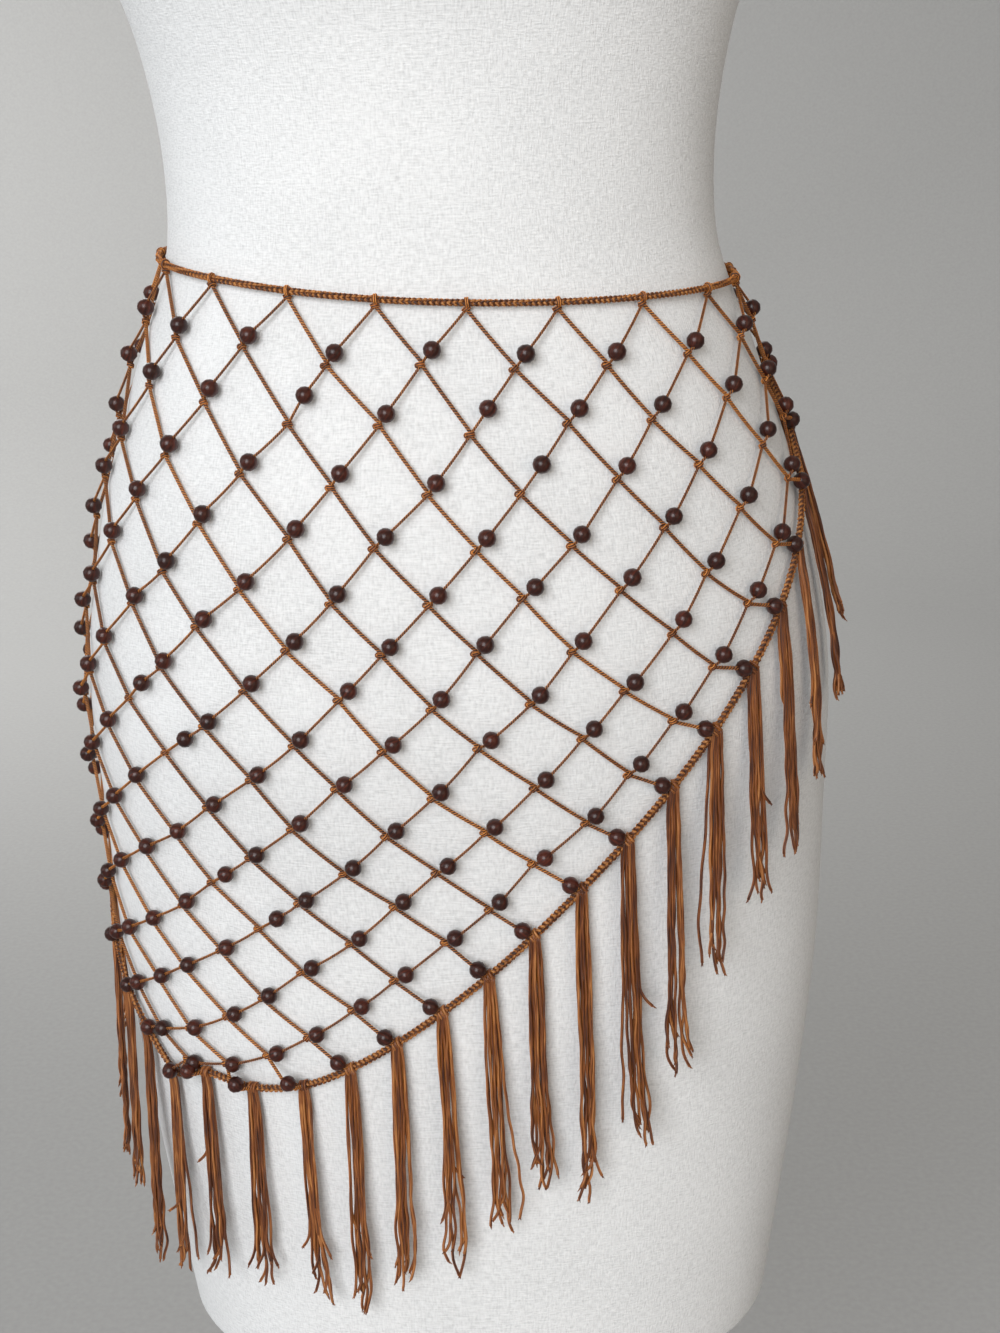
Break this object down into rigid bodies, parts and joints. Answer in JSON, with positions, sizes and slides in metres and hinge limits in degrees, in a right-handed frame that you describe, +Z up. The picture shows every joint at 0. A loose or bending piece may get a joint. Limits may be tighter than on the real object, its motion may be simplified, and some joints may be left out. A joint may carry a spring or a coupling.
{
  "type": "beaded net hip belt on a dress form",
  "caption": "Knotted triangular net hip belt with wooden beads and tasselled hem, tied round a limbless dress form on a round stand.",
  "frame": {"origin": "centre of the stand's underside, on the floor", "axes": "+Z up along the pole; the form's front and the net's widest side face -Y; +X is on the right as seen from the front"},
  "size_m": [0.42, 0.42, 1.4973],
  "materials": {
    "form_cover": "matt off-white woven cover",
    "stand_wood": "satin turned wood",
    "stand_metal": "satin steel",
    "beaded_net": "twisted rust-brown cord with dark satin wooden beads",
    "cord": "twisted rust-brown cord, soft sheen"
  },
  "bodies": {
    "root": {"dress_form": "form_cover", "neck_cap": "stand_wood", "pole": "stand_metal", "stand_base": "stand_metal", "net_left": "beaded_net", "net_right": "beaded_net", "waist_cord": "cord", "hem_cord_left": "cord", "hem_cord_right": "cord", "tie_knot": "cord", "tassel_right_01": "cord", "tassel_right_02": "cord", "tassel_right_03": "cord", "tassel_right_04": "cord", "tassel_right_05": "cord", "tassel_right_06": "cord", "tassel_right_07": "cord", "tassel_right_08": "cord", "tassel_right_09": "cord", "tassel_right_10": "cord", "tassel_right_11": "cord", "tassel_right_12": "cord", "tassel_right_13": "cord", "tassel_right_14": "cord", "tassel_right_15": "cord", "tassel_right_16": "cord", "tassel_right_17": "cord", "tassel_right_18": "cord", "tassel_right_19": "cord", "tassel_left_01": "cord", "tassel_left_02": "cord", "tassel_left_03": "cord", "tassel_left_04": "cord", "tassel_left_05": "cord", "tassel_left_06": "cord", "tassel_left_07": "cord", "tassel_left_08": "cord", "tassel_left_09": "cord", "tassel_left_10": "cord", "tassel_left_11": "cord", "tassel_left_12": "cord", "tassel_left_13": "cord", "tassel_left_14": "cord", "tassel_left_15": "cord", "tassel_left_16": "cord", "tassel_left_17": "cord", "tassel_left_18": "cord", "tassel_left_19": "cord"}
  },
  "joints": []
}
